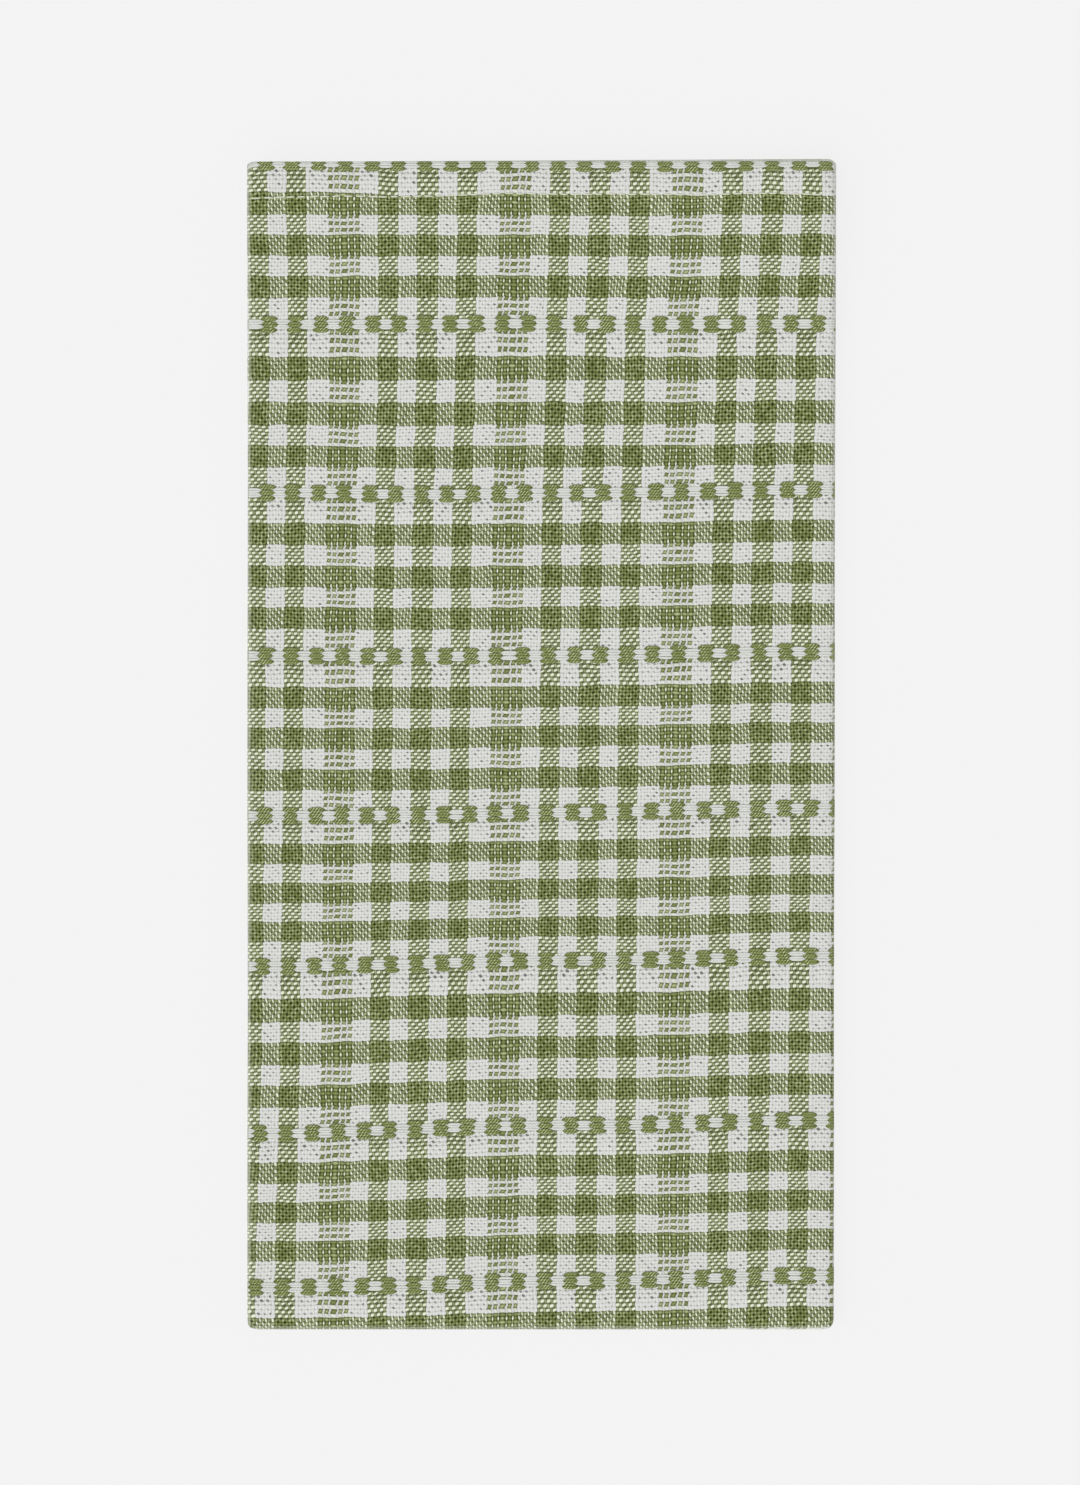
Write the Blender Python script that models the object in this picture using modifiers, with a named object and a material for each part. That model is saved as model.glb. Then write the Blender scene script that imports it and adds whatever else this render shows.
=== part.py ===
"""Tea towel, hemmed, folded in thirds lengthwise and then in half, lying flat.

One sheet of cloth, modelled at real size in metres. +Z is up, +Y points to the hemmed end
and +X to the side where the wide flap turns in. The origin is under the middle of the
towel, on the surface that it lies on.

The sheet is a flat grid. Each of its columns is placed on a section of the lengthwise fold
and each of its rows on a section of the half fold, and Solidify gives it its thickness.
"""
import math
from collections import namedtuple

import bmesh
import bpy

# Cut size of the cloth, and the size it is folded to
CLOTH_WIDTH = 0.500
FOLDED_WIDTH = 0.175
FOLDED_LENGTH = 0.3485     # at the -X side

# The cloth itself
THICKNESS = 0.0010
HEM_THICKNESS = 0.0015
HEM_DEPTH = 0.010
HEM_STEP = 0.0012          # length over which the cloth thickens into its hem
LAYER_GAP = 0.0003
FLATTENED = 0.00001        # what lies this close to the surface below lies flat on it

# The folds. Layers are counted from the lowest one, the middle panel, as 0.
FLAP_ONE_LENGTH = 0.158    # the flap that is turned in first; the other takes the rest
FLAP_ONE_LAYER = 1
FLAP_TWO_LAYER = 2
LAYERS = 6                 # three in each half
SPREAD_LENGTH = 0.045      # length over which the layers spread apart to clear the hems

# How far the towel strays from a true rectangle
RIGHT_SIDE_TAPER = 0.0006  # the +X side runs out this much further at the hemmed end
HEM_END_SLOPE = 0.0009     # the hemmed end runs out this much further at +X than at -X
LOWER_HALF_PEEP = 0.0003   # the lower half shows this much past the upper one
SIDE_WAVE = 0.0002         # slow wave of the long sides
SIDE_WAVES = 2.5
CORNER_REACH = 0.009

# Soft rises of the upper layers, each a smooth hump: middle, half-widths and height
Swell = namedtuple("Swell", "x y reach_x reach_y height")
SWELLS = (
    Swell(x=0.000, y=-0.165, reach_x=0.140, reach_y=0.022, height=0.0008),
    Swell(x=-0.040, y=-0.070, reach_x=0.060, reach_y=0.070, height=0.0006),
    Swell(x=0.045, y=0.015, reach_x=0.055, reach_y=0.085, height=0.0007),
    Swell(x=-0.035, y=0.090, reach_x=0.065, reach_y=0.060, height=0.0005),
    Swell(x=0.060, y=0.130, reach_x=0.050, reach_y=0.060, height=0.0006),
)

# How far each corner is drawn in, along +Y or -Y
Corner = namedtuple("Corner", "side end draw")
CORNERS = (
    Corner(side=-1, end=-1, draw=0.0008),
    Corner(side=1, end=-1, draw=0.0012),
    Corner(side=-1, end=1, draw=0.0004),
    Corner(side=1, end=1, draw=0.0010),
)

# Steps of the mesh
FLAP_STEPS = 8
PANEL_STEPS = 20
TURN_STEPS = 6
HALF_STEPS = 18
SPREAD_STEPS = 6
HALF_FOLD_STEPS = 10

CLOTH_COLOUR = (0.52, 0.58, 0.38, 1.0)
CLOTH_ROUGHNESS = 0.9

Column = namedtuple("Column", "section part")
Row = namedtuple("Row", "section part")

# What follows from the sizes above, where the layers lie closest
PITCH = THICKNESS + LAYER_GAP
STACK = (LAYERS - 1) * PITCH
STRAIGHT_LENGTH = FOLDED_LENGTH - THICKNESS / 2.0 - STACK / 2.0


def smoothstep(value):
    """Rise smoothly from 0 to 1 as value goes from 0 to 1."""
    clamped = min(max(value, 0.0), 1.0)
    return clamped * clamped * (3.0 - 2.0 * clamped)


def cloth_thickness(from_hem_end):
    """Thickness of one layer at a distance from the hemmed end."""
    in_hem = smoothstep((HEM_DEPTH + HEM_STEP - from_hem_end) / HEM_STEP)
    return THICKNESS + (HEM_THICKNESS - THICKNESS) * in_hem


def layer_pitch(from_hem_end):
    """Height from one layer to the next at a distance from the hemmed end."""
    spread_start = HEM_DEPTH + HEM_STEP + SPREAD_LENGTH
    spread = smoothstep((spread_start - from_hem_end) / SPREAD_LENGTH)
    return PITCH + (HEM_THICKNESS - THICKNESS) * spread


def flap_two_length():
    """What the first flap, the middle panel and the two turns leave of the cloth."""
    radius_one = PITCH * FLAP_ONE_LAYER / 2.0
    radius_two = PITCH * FLAP_TWO_LAYER / 2.0
    turns = math.pi * (radius_one + radius_two)
    panel = FOLDED_WIDTH - THICKNESS - radius_one - radius_two
    return CLOTH_WIDTH - FLAP_ONE_LENGTH - turns - panel


def place_column(column, pitch, thickness):
    """Across the lower half of the towel: x, and the height above its lowest layer."""
    side = (FOLDED_WIDTH - thickness) / 2.0
    radius_one = pitch * FLAP_ONE_LAYER / 2.0
    radius_two = pitch * FLAP_TWO_LAYER / 2.0
    left = -side + radius_one
    right = side - radius_two
    angle = math.pi * column.part
    if column.section == "flap_one":
        return left + FLAP_ONE_LENGTH * (1.0 - column.part), 2.0 * radius_one
    if column.section == "turn_one":
        return left - radius_one * math.sin(angle), radius_one * (1.0 + math.cos(angle))
    if column.section == "panel":
        return left + (right - left) * column.part, 0.0
    if column.section == "turn_two":
        return right + radius_two * math.sin(angle), radius_two * (1.0 - math.cos(angle))
    return right - flap_two_length() * column.part, 2.0 * radius_two


def columns():
    """Columns of the grid, from the first flap's free edge to the second's."""
    sections = (
        ("flap_one", FLAP_STEPS),
        ("turn_one", TURN_STEPS),
        ("panel", PANEL_STEPS),
        ("turn_two", TURN_STEPS),
        ("flap_two", FLAP_STEPS),
    )
    found = [Column("flap_one", 0.0)]
    for section, steps in sections:
        found += [Column(section, step / steps) for step in range(1, steps + 1)]
    return found


def rows():
    """Rows of the grid, from the lower hem, round the half fold, to the upper hem.

    The part of a straight row is its distance from the hemmed end in metres, and the part
    of a row in the half fold runs from 0 to 1.
    """
    hem_end = HEM_DEPTH + HEM_STEP
    spread_end = hem_end + SPREAD_LENGTH
    places = [0.0, HEM_DEPTH / 2.0, HEM_DEPTH, hem_end]
    for step in range(1, SPREAD_STEPS + 1):
        places.append(hem_end + SPREAD_LENGTH * step / SPREAD_STEPS)
    for step in range(1, HALF_STEPS + 1):
        places.append(spread_end + (STRAIGHT_LENGTH - spread_end) * step / HALF_STEPS)
    lower = [Row("lower", place) for place in places]
    fold = [Row("fold", step / HALF_FOLD_STEPS) for step in range(1, HALF_FOLD_STEPS)]
    upper = [Row("upper", place) for place in reversed(places)]
    return lower + fold + upper


def stray(x, y, lower_half):
    """Move a point as the outline strays from a rectangle. lower_half runs from 0 to 1."""
    across = x / FOLDED_WIDTH + 0.5
    along = y / FOLDED_LENGTH + 0.5
    new_x = x + RIGHT_SIDE_TAPER * across * along
    new_x += SIDE_WAVE * math.sin(2.0 * math.pi * SIDE_WAVES * along) * (2.0 * across - 1.0)
    new_x += LOWER_HALF_PEEP * lower_half * along
    new_y = y + HEM_END_SLOPE * across * along
    for corner in CORNERS:
        near_side = smoothstep(1.0 - (FOLDED_WIDTH / 2.0 - corner.side * x) / CORNER_REACH)
        near_end = smoothstep(1.0 - (FOLDED_LENGTH / 2.0 - corner.end * y) / CORNER_REACH)
        new_y -= corner.end * corner.draw * near_side * near_end
    return new_x, new_y


def swell_height(x, y):
    """Height of the soft rises at a place, as the topmost layer takes it."""
    total = 0.0
    for swell in SWELLS:
        away = math.hypot((x - swell.x) / swell.reach_x, (y - swell.y) / swell.reach_y)
        total += swell.height * smoothstep(1.0 - away)
    return total


def place(column, row):
    """Where a point of the flat sheet lies in the folded towel."""
    from_hem_end = STRAIGHT_LENGTH if row.section == "fold" else row.part
    pitch = layer_pitch(from_hem_end)
    thickness = cloth_thickness(from_hem_end)
    stack = (LAYERS - 1) * pitch
    x, height = place_column(column, pitch, thickness)
    y = FOLDED_LENGTH / 2.0 - from_hem_end
    lower_half = 1.0
    if row.section == "upper":
        height = stack - height
        lower_half = 0.0
    elif row.section == "fold":
        angle = math.pi * row.part
        radius = stack / 2.0 - height
        y -= radius * math.sin(angle)
        height = stack / 2.0 - radius * math.cos(angle)
        lower_half = 1.0 - row.part
    height *= 1.0 + swell_height(x, y) / STACK
    x, y = stray(x, y, lower_half)
    return x, y, thickness / 2.0 + height


def cloth_material():
    """Matt cotton, in the mean colour of its green and white checks."""
    material = bpy.data.materials.new("checked_cotton")
    material.use_nodes = True
    shader = material.node_tree.nodes["Principled BSDF"]
    shader.inputs["Base Color"].default_value = CLOTH_COLOUR
    shader.inputs["Roughness"].default_value = CLOTH_ROUGHNESS
    shader.inputs["Metallic"].default_value = 0.0
    return material


def folded_sheet(name):
    """The folded cloth as an open surface, halfway through its thickness.

    The first vertex group holds how thick the cloth is there, as a part of its hem.
    """
    across = columns()
    along = rows()
    sheet = bmesh.new()
    bmesh.ops.create_grid(
        sheet, x_segments=len(across) - 1, y_segments=len(along) - 1, size=0.5)
    thickness_group = sheet.verts.layers.deform.verify()
    for vertex in sheet.verts:
        column = across[round((vertex.co.x + 0.5) * (len(across) - 1))]
        row = along[round((vertex.co.y + 0.5) * (len(along) - 1))]
        in_hem = row.section != "fold" and row.part <= HEM_DEPTH
        vertex[thickness_group][0] = 1.0 if in_hem else THICKNESS / HEM_THICKNESS
        vertex.co = place(column, row)
    low_x, high_x = extent(vertex.co.x for vertex in sheet.verts)
    low_y, high_y = extent(vertex.co.y for vertex in sheet.verts)
    middle = (-(low_x + high_x) / 2.0, -(low_y + high_y) / 2.0, 0.0)
    bmesh.ops.translate(sheet, vec=middle, verts=sheet.verts)
    bmesh.ops.recalc_face_normals(sheet, faces=sheet.faces)
    mesh = bpy.data.meshes.new(name)
    sheet.to_mesh(mesh)
    sheet.free()
    return mesh


def extent(values):
    """Lowest and highest of some values."""
    found = list(values)
    return min(found), max(found)


def thicken(sheet):
    """Give the open sheet its thickness, and leave it a plain mesh."""
    group = sheet.vertex_groups.new(name="thickness")
    solid = sheet.modifiers.new("cloth_thickness", "SOLIDIFY")
    solid.thickness = HEM_THICKNESS
    solid.offset = 0.0
    solid.use_even_offset = True
    solid.vertex_group = group.name
    open_mesh = sheet.data
    evaluated = sheet.evaluated_get(bpy.context.evaluated_depsgraph_get())
    sheet.data = bpy.data.meshes.new_from_object(evaluated)
    sheet.modifiers.remove(solid)
    bpy.data.meshes.remove(open_mesh)


def rest_flat(mesh):
    """Lay the underside exactly on the surface, as the thickening leaves it a hair off."""
    for vertex in mesh.vertices:
        if abs(vertex.co.z) < FLATTENED:
            vertex.co.z = 0.0


def make_towel(collection):
    """The whole towel as one closed solid."""
    towel = bpy.data.objects.new("towel", folded_sheet("towel"))
    collection.objects.link(towel)
    thicken(towel)
    rest_flat(towel.data)
    towel.data.name = "towel"
    towel.data.materials.append(cloth_material())
    towel.data.shade_smooth()
    return towel


def main():
    for thing in list(bpy.data.objects):
        bpy.data.objects.remove(thing, do_unlink=True)
    collection = bpy.data.collections.new("tea_towel")
    bpy.context.scene.collection.children.link(collection)
    make_towel(collection)


main()
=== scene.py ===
"""Looks of the folded tea towel: woven cotton in green and white checks with float bands.

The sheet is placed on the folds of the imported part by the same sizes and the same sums, on a
finer grid. Its weave is worked out by the node material from two coordinates: how many
stripe repeats a point lies from the first mixed stripe, and how many band repeats it lies
from the band at the hem. The float bands and the hem stitches are threads of their own.
Lengths are in metres unless a name says otherwise.
"""
import math
import random
from collections import namedtuple

import bpy
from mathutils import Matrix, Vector


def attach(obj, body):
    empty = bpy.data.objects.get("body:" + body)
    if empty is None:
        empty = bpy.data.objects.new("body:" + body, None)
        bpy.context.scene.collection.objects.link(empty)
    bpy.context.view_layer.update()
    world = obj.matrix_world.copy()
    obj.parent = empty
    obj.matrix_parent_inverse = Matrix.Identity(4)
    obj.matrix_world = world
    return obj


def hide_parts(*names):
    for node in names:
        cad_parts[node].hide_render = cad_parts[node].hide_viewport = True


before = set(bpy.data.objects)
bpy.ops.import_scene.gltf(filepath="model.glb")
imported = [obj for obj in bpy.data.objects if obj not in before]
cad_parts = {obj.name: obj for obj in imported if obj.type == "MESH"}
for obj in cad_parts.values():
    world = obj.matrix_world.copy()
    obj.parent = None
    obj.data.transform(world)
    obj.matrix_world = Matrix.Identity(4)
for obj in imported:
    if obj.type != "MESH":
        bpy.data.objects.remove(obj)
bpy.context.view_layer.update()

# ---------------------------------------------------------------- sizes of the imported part
CLOTH_WIDTH = 0.500
FOLDED_WIDTH = 0.1754      # 0.4 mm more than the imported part, as its folds bulge a little
FOLDED_LENGTH = 0.3485
THICKNESS = 0.0010
HEM_THICKNESS = 0.0015
HEM_DEPTH = 0.010
HEM_STEP = 0.0012
LAYER_GAP = 0.0003
FLAP_ONE_LENGTH = 0.158
FLAP_ONE_LAYER = 1
FLAP_TWO_LAYER = 2
LAYERS = 6
SPREAD_LENGTH = 0.045
RIGHT_SIDE_TAPER = 0.0006
HEM_END_SLOPE = 0.0009
LOWER_HALF_PEEP = 0.0003
SIDE_WAVE = 0.00006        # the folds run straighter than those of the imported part
SIDE_WAVES = 2.5
CORNER_REACH = 0.0026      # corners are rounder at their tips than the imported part's
CORNER_DEPTH = 0.0045      # how far along the towel a corner is drawn in

Swell = namedtuple("Swell", "x y reach_x reach_y height")
SWELLS = (
    Swell(x=0.000, y=-0.165, reach_x=0.140, reach_y=0.022, height=0.0008),
    Swell(x=-0.040, y=-0.070, reach_x=0.060, reach_y=0.070, height=0.0006),
    Swell(x=0.045, y=0.015, reach_x=0.055, reach_y=0.085, height=0.0007),
    Swell(x=-0.035, y=0.090, reach_x=0.065, reach_y=0.060, height=0.0005),
    Swell(x=0.060, y=0.130, reach_x=0.050, reach_y=0.060, height=0.0006),
)
Corner = namedtuple("Corner", "side end draw")
CORNERS = (
    Corner(side=-1, end=-1, draw=0.0011),
    Corner(side=1, end=-1, draw=0.0014),
    Corner(side=-1, end=1, draw=0.0008),
    Corner(side=1, end=1, draw=0.0009),
)
PITCH = THICKNESS + LAYER_GAP
STACK = (LAYERS - 1) * PITCH
STRAIGHT_LENGTH = FOLDED_LENGTH - THICKNESS / 2.0 - STACK / 2.0
HALF_FOLD_LENGTH = math.pi * STACK / 2.0
HALF_FOLD_START = FOLDED_LENGTH / 2.0 - STRAIGHT_LENGTH

# ---------------------------------------------------------------- the weave, charted
# Where stripes lie across the towel at some places along it, in millimetres: the middles
# of the three mixed stripes, after a place a whole repeat before them and ahead of a place
# half a repeat beyond them
STRIPE_HEIGHTS = (-160.0, -90.0, 0.0, 70.0, 107.0, 125.0, 142.0, 165.0)
STRIPE_NUMBERS = (-1.0, 0.0, 1.0, 2.0, 2.5)
STRIPES = (
    (-114.6, -111.5, -110.2, -109.8, -109.1, -109.2, -109.6, -110.8),
    (-62.3, -61.4, -60.6, -59.9, -59.1, -59.1, -59.0, -59.5),
    (-11.8, -11.5, -10.8, -10.0, -9.0, -8.7, -8.3, -7.8),
    (39.3, 39.4, 39.9, 40.9, 41.9, 42.2, 43.2, 44.0),
    (64.9, 65.5, 66.0, 66.7, 67.5, 67.8, 68.9, 70.1),
)
LEFT_REPEAT = 0.0498       # one repeat of the stripes beyond the charted ones
RIGHT_REPEAT = 0.0514

# Where float bands lie along the towel at some places across it, in millimetres
BAND_PLACES = (-72.0, -36.0, -10.0, 33.0, 72.0)
FLOAT_BANDS = (
    (174.2, 173.9, 173.9, 173.7, 174.1),
    (125.9, 126.0, 126.2, 125.9, 126.1),
    (75.6, 75.1, 75.4, 75.8, 76.5),
    (26.8, 26.6, 26.9, 27.3, 28.1),
    (-21.0, -20.8, -20.3, -19.6, -18.8),
    (-66.1, -65.2, -64.5, -64.1, -63.0),
    (-116.0, -114.6, -113.8, -113.3, -112.1),
    (-162.0, -161.3, -160.3, -159.7, -158.5),
)
# The three green rows after each float band but the last, at the towel's middle
GREEN_ROWS = (
    (161.6, 149.5, 137.3),
    (113.0, 99.2, 86.4),
    (63.3, 50.6, 38.3),
    (14.6, 2.8, -9.7),
    (-31.3, -42.9, -54.2),
    (-77.4, -90.2, -102.9),
    (-125.7, -137.6, -149.2),
)
BAND_REPEAT = 0.0480       # one repeat of the bands beyond the charted ones
REPEATS_BEFORE = 2         # how many of them the marks go on for, before the charted ones
REPEATS_BEYOND = 20        # and after them
STRIPES_BEYOND = 10.0      # and how many stripe repeats, on both sides
# Beside the hem: where the white row ends, and where the stitches run, which pull it askew
HEM_PLACES = (-88.0, -75.0, -63.0, -52.0, -44.0, -27.0, -12.0, 5.0, 29.0, 47.0, 65.0, 82.0)
HEM_ROW = (165.3, 165.3, 165.2, 165.0, 164.1, 164.1, 164.7, 164.4, 164.5, 164.2, 164.7, 164.3)
STITCHES = (163.2, 163.8, 164.0, 163.9, 163.9, 164.2, 164.8, 164.6, 164.6, 164.4, 164.8, 164.5)
HEM_TURN_REPEATS = 0.060   # from the first band to the hem's edge, where it turns
HEM_TURN_DEPTH = 0.0008

# One repeat of the stripes: thread groups from the mixed stripe's left side, with the
# colour, the number of threads and the width of each, in millimetres. Doubled threads are
# two ends that work as one
Group = namedtuple("Group", "colour count width doubled", defaults=(False,))
GREEN = 0.0
WHITE = 1.0
END_GROUPS = (
    Group(GREEN, 1, 1.26),
    Group(WHITE, 1, 0.52),
    Group(GREEN, 1, 1.25),
    Group(WHITE, 1, 0.52),
    Group(GREEN, 1, 1.90, True),
    Group(WHITE, 1, 0.52),
    Group(GREEN, 1, 1.25),
    Group(WHITE, 1, 0.52),
    Group(GREEN, 1, 1.26),
    Group(WHITE, 5, 0.88),
    Group(WHITE, 1, 1.17, True),
    Group(GREEN, 6, 0.96),
    Group(WHITE, 1, 1.17, True),
    Group(WHITE, 5, 0.90),
    Group(GREEN, 6, 1.02),
    Group(WHITE, 5, 0.90),
    Group(WHITE, 1, 1.17, True),
    Group(GREEN, 6, 0.96),
    Group(WHITE, 1, 1.17, True),
    Group(WHITE, 6, 0.91),
)
MIXED_ENDS = 9             # the first groups, of one end each, which make up the mixed stripe

# One repeat along the cloth, from the first pick of a float band. The doubled picks here
# are the loose ones after the band, which leave gaps
PICK_GROUPS = (
    Group(GREEN, 6, 0.52),
    Group(WHITE, 3, 1.30, True),
    Group(WHITE, 3, 1.30),
    Group(GREEN, 6, 1.08),
    Group(WHITE, 6, 1.03),
    Group(GREEN, 6, 1.06),
    Group(WHITE, 6, 1.01),
    Group(GREEN, 6, 1.06),
    Group(WHITE, 6, 1.07),
)
BAND_PICKS = 6             # the first picks, which lie under the floats
GREEN_ROW_GROUPS = (3, 5, 7)  # which of the groups are the green rows

# Threads that float on the face in the bands, in groups that touch the face's green picks
FLOATS_PER_REPEAT = 6.5    # of the stripes
FLOAT_OFFSET = -0.4473     # from the first mixed stripe's middle to a float's, in repeats
FLOAT_NUMBERS = range(-8, 40)  # enough of them to reach past both sides
BEFORE_LEFT = 0.001        # how far past the left side a float's middle may lie, and still show
BEYOND_RIGHT = 0.004
GREEN_PICK_PITCH = 0.00168
GREEN_FLOAT_LENGTH = 0.0050
GREEN_STRAND_PITCH = 0.00078
GREEN_STRAND_WIDTH = 0.00092
GREEN_SIZES = (0.94, 1.07)    # how much whole floats differ in length
GREEN_LENGTHS = (0.93, 1.06)  # and their picks
GREEN_SWAY = 0.00026       # how far a pick's float lies off across the towel
GREEN_STRAY = 0.00006      # and each of its strands along it
GREEN_PULL = 0.40          # how far the ends of two strands draw together, in their pitch
GREEN_TIP = 0.24           # how wide a strand's tips are, against its middle
OUTER_BOW = 3.2            # the outermost strands of a float bow less bluntly
INNER_BOW = 4.6
WHITE_PICK_PITCH = 0.00146
WHITE_FLOAT_LENGTH = 0.0064
WHITE_STRAND_PITCH = 0.00074
WHITE_STRAND_WIDTH = 0.00082
WHITE_LENGTHS = (0.94, 1.05)
WHITE_STRAY = 0.00008
WHITE_PULL = 0.42
WHITE_TIP = 0.20
WHITE_BOW = 3.0
FIRST_WHITE = 0.0090       # from the first green float back to the one before it
LAST_WHITE = 0.0078        # and from the last on to the next
STRAND_HEIGHT = 0.00050
WHITE_STRAND_HEIGHT = 0.00042
STRAND_STEPS = 8
STRAND_SIDES = 4
LEAST_SHOWN = 0.0008       # shorter ends of strands are left out
FLOAT_RISE = 0.00012       # how far a green float stands clear of the cloth at its middle
STRAND_SINK = 0.00006      # how far a strand's edges lie in the cloth
STRAND_DIP = 0.35          # how thick a strand still is where it dips in
STRAND_TAPER = 0.7         # the less, the sooner it is at its full width
TWIST_OFFSET = 0.37        # from one strand's turns to the next one's, in millimetres
CELL_PART = (0.05, 0.95)   # what a strand takes up of its cell of the picture
FLOAT_SEED = 11
ROUND_SIDE = 0.9           # how far round a side's quarter turn strands go on
RIM_SHEEN_WIDTH = 0.00075        # of the painted sheen, a pale tone laid along the hem's rounded edge
RIM_SHEEN_END = 1.5              # where it has faded out, in its widths
SIDE_SHEEN = 0.50          # how pale the painted sheen makes the side folds, where the cloth turns away
HALF_FOLD_SHEEN = 0.32     # and the half fold
SHEEN_WIDTH = 0.0009
HEM_FOLD = 0.1754          # where the hem turns under: strands beyond it don't show
HEM_BEND = 0.0020          # how gently strands bend down to the hem's fold
HEM_BEND_END = 0.1744
CLEAR_OF_HEM = 0.0002      # how far short of the hem's edge a band has to lie
CLEAR_OF_FOLD = 0.0030     # and how far from the half fold

# Stitches that hold the hem
STITCH_PITCH = 0.0034
STITCH_LENGTH = 0.0027
STITCH_WIDTH = 0.00052
STITCH_HEIGHT = 0.00026
STITCH_MARGIN = 0.0010
STITCH_LENGTHS = (0.85, 1.15)
STITCH_PITCHES = (0.93, 1.07)
STITCH_STRAY = 0.0001
STITCH_TIP = 0.40
STITCH_BOW = 3.0
STITCH_SEED = 5

# ---------------------------------------------------------------- steps of the sheet's grid
FLAP_STEPS = 12
PANEL_STEPS = 90
TURN_STEPS = 8
HEM_EDGE = 0.003           # finer steps at the hem's fold
HEM_EDGE_STEPS = 8
HEM_STEPS = 4
HEM_END_STEPS = 2
SPREAD_STEPS = 20
HALF_STEPS = 140
HALF_FOLD_STEPS = 14
UNDERSIDE_LIFT = 0.00025   # room under the sheet for the threads that it lies on
UNDERSIDE_PRESS = 0.5      # and how flat it presses them

Spot = namedtuple("Spot", "section part")


def smoothstep(value):
    """Rise smoothly from 0 to 1 as value goes from 0 to 1."""
    clamped = min(max(value, 0.0), 1.0)
    return clamped * clamped * (3.0 - 2.0 * clamped)


# ---------------------------------------------------------------- the folds
def cloth_thickness(from_hem_end):
    """Thickness of one layer at a distance from the hemmed end."""
    in_hem = smoothstep((HEM_DEPTH + HEM_STEP - from_hem_end) / HEM_STEP)
    return THICKNESS + (HEM_THICKNESS - THICKNESS) * in_hem


def layer_pitch(from_hem_end):
    """Height from one layer to the next at a distance from the hemmed end."""
    spread_start = HEM_DEPTH + HEM_STEP + SPREAD_LENGTH
    spread = smoothstep((spread_start - from_hem_end) / SPREAD_LENGTH)
    return PITCH + (HEM_THICKNESS - THICKNESS) * spread


def panel_ends(pitch=PITCH, thickness=THICKNESS):
    """The radii of the two flaps' turns, and where the middle panel meets them."""
    one = pitch * FLAP_ONE_LAYER / 2.0
    two = pitch * FLAP_TWO_LAYER / 2.0
    side = (FOLDED_WIDTH - thickness) / 2.0
    return one, two, one - side, side - two


def flap_two_length():
    """What the first flap, the middle panel and the two turns leave of the cloth."""
    one, two, left, right = panel_ends()
    return CLOTH_WIDTH - FLAP_ONE_LENGTH - math.pi * (one + two) - (right - left)


def place_column(column, pitch, thickness):
    """Across the lower half of the towel: x, and the height above its lowest layer."""
    one, two, left, right = panel_ends(pitch, thickness)
    angle = math.pi * column.part
    if column.section == "flap_one":
        return left + FLAP_ONE_LENGTH * (1.0 - column.part), 2.0 * one
    if column.section == "turn_one":
        return left - one * math.sin(angle), one * (1.0 + math.cos(angle))
    if column.section == "panel":
        return left + (right - left) * column.part, 0.0
    if column.section == "turn_two":
        return right + two * math.sin(angle), two * (1.0 - math.cos(angle))
    return right - flap_two_length() * column.part, 2.0 * two


def flat_across(column):
    """Where a column lies across the face of the cloth if it were opened out flat."""
    one, two, left, right = panel_ends()
    turn_one = math.pi * (one + THICKNESS / 2.0)
    turn_two = math.pi * (two + THICKNESS / 2.0)
    sections = {
        "flap_one": (left - turn_one - FLAP_ONE_LENGTH, FLAP_ONE_LENGTH),
        "turn_one": (left - turn_one, turn_one),
        "panel": (left, right - left),
        "turn_two": (right, turn_two),
        "flap_two": (right + turn_two, flap_two_length()),
    }
    start, length = sections[column.section]
    return start + length * column.part


def flat_along(row):
    """Where a row lies along the cloth if the lower half were opened out beyond the fold."""
    if row.section == "upper":
        return FOLDED_LENGTH / 2.0 - row.part
    if row.section == "fold":
        return HALF_FOLD_START - HALF_FOLD_LENGTH * (1.0 - row.part)
    return HALF_FOLD_START - HALF_FOLD_LENGTH - (STRAIGHT_LENGTH - row.part)


def drawn_in(x, y):
    """How far the round corners draw a point along the towel."""
    total = 0.0
    for corner in CORNERS:
        from_side = (FOLDED_WIDTH - THICKNESS) / 2.0 - corner.side * x
        near_side = min(max(1.0 - from_side / CORNER_REACH, 0.0), 1.0)
        near_end = smoothstep(1.0 - (FOLDED_LENGTH / 2.0 - corner.end * y) / CORNER_DEPTH)
        total -= corner.end * corner.draw * (1.0 - math.sqrt(1.0 - near_side ** 2)) * near_end
    return total


def stray(x, y, lower_half):
    """Move a point as the outline strays from a rectangle. lower_half runs from 0 to 1."""
    across = x / FOLDED_WIDTH + 0.5
    along = y / FOLDED_LENGTH + 0.5
    new_x = x + RIGHT_SIDE_TAPER * across * along
    new_x += SIDE_WAVE * math.sin(2.0 * math.pi * SIDE_WAVES * along) * (2.0 * across - 1.0)
    new_x += LOWER_HALF_PEEP * lower_half * along
    return new_x, y + HEM_END_SLOPE * across * along + drawn_in(x, y)


def swell_height(x, y):
    """Height of the soft rises at a place, as the topmost layer takes it."""
    total = 0.0
    for swell in SWELLS:
        away = math.hypot((x - swell.x) / swell.reach_x, (y - swell.y) / swell.reach_y)
        total += swell.height * smoothstep(1.0 - away)
    return total


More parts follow.
